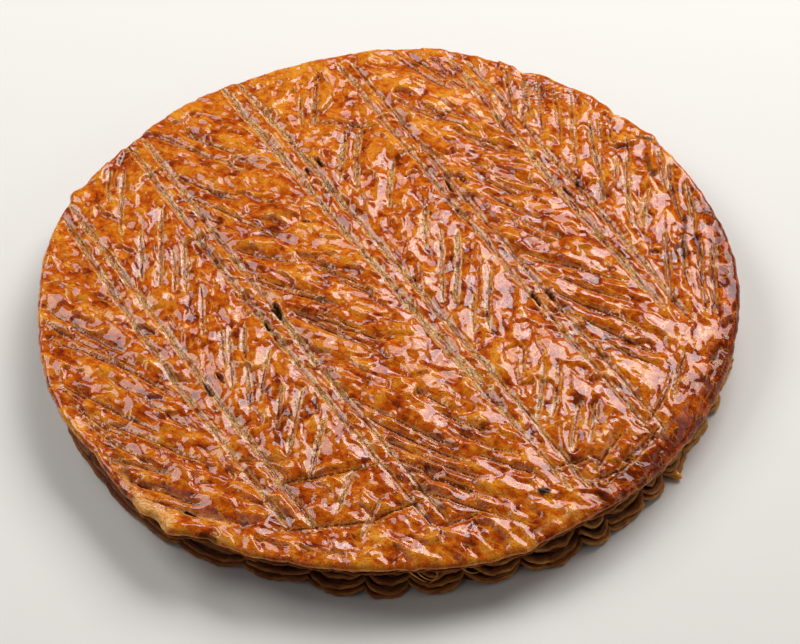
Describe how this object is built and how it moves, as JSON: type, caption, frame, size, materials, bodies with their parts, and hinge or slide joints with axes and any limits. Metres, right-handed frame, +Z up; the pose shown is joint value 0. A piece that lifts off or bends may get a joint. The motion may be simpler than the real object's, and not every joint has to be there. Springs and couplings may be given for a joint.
{
  "type": "galette des rois",
  "caption": "Whole round puff-pastry cake with a crimped, layered side and a glossy baked lid scored with paired stems and leaning barbs.",
  "frame": {"origin": "centre of the underside, on the surface the cake stands on", "axes": "+Z up through the lid; the paired stems run from the back left (-X, +Y) to the front right (+X, -Y), and -Y is the side nearest the viewer"},
  "size_m": [0.2808, 0.2798, 0.026],
  "materials": {
    "glazed_crust": "glossy egg-wash glaze over amber-brown baked puff pastry, mottled from gold to deep brown",
    "baked_layers": "dull, dry baked puff-pastry layers, pale gold at the edges of the leaves and dark brown between them"
  },
  "bodies": {
    "root": {"galette": "glazed_crust"}
  },
  "joints": []
}
